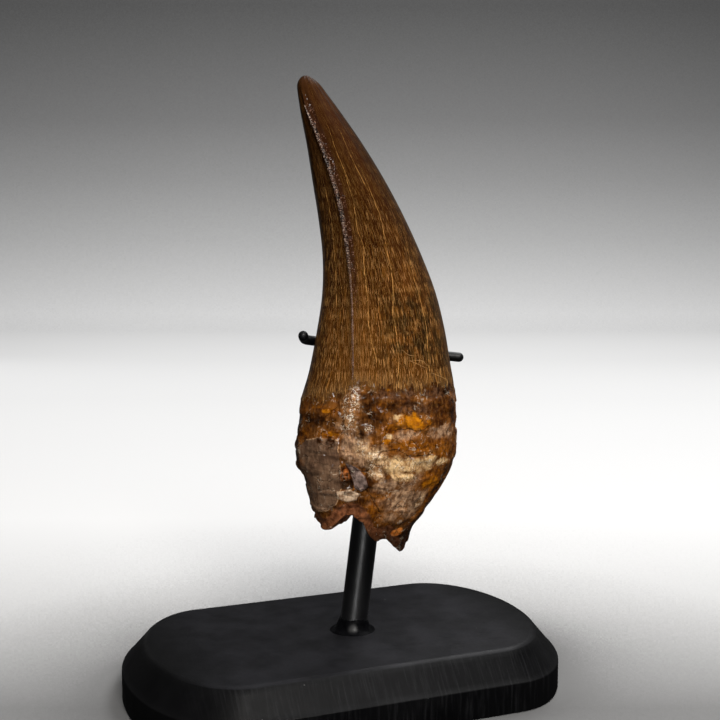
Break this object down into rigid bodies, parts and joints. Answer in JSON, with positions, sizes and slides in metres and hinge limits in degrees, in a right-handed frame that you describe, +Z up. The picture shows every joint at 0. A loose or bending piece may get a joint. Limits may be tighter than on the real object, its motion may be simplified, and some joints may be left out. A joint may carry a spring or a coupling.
{
  "type": "fossil dinosaur tooth on stand",
  "caption": "Large curved fossil theropod tooth with serrated edges and broken root, held upright by a bent wire cradle on a leaning post above a chamfered black plinth.",
  "frame": {"origin": "middle of the plinth's underside", "axes": "+Z up along the tooth's length, +X along the plinth's length away from the way the tip curves, +Y to the back, where the post stands behind the tooth"},
  "size_m": [0.102, 0.0636, 0.139],
  "materials": {
    "fossil_tooth": "glossy brown fossil enamel with fine lengthwise streaks above a mottled rust, cream and grey root",
    "black_lacquered_wood": "satin black paint over sanded wood, with faint grain on the chamfer",
    "black_painted_steel": "satin black paint"
  },
  "bodies": {
    "root": {"tooth": "fossil_tooth", "plinth": "black_lacquered_wood", "post": "black_painted_steel", "foot_bead": "black_painted_steel", "cradle_wire": "black_painted_steel"}
  },
  "joints": []
}
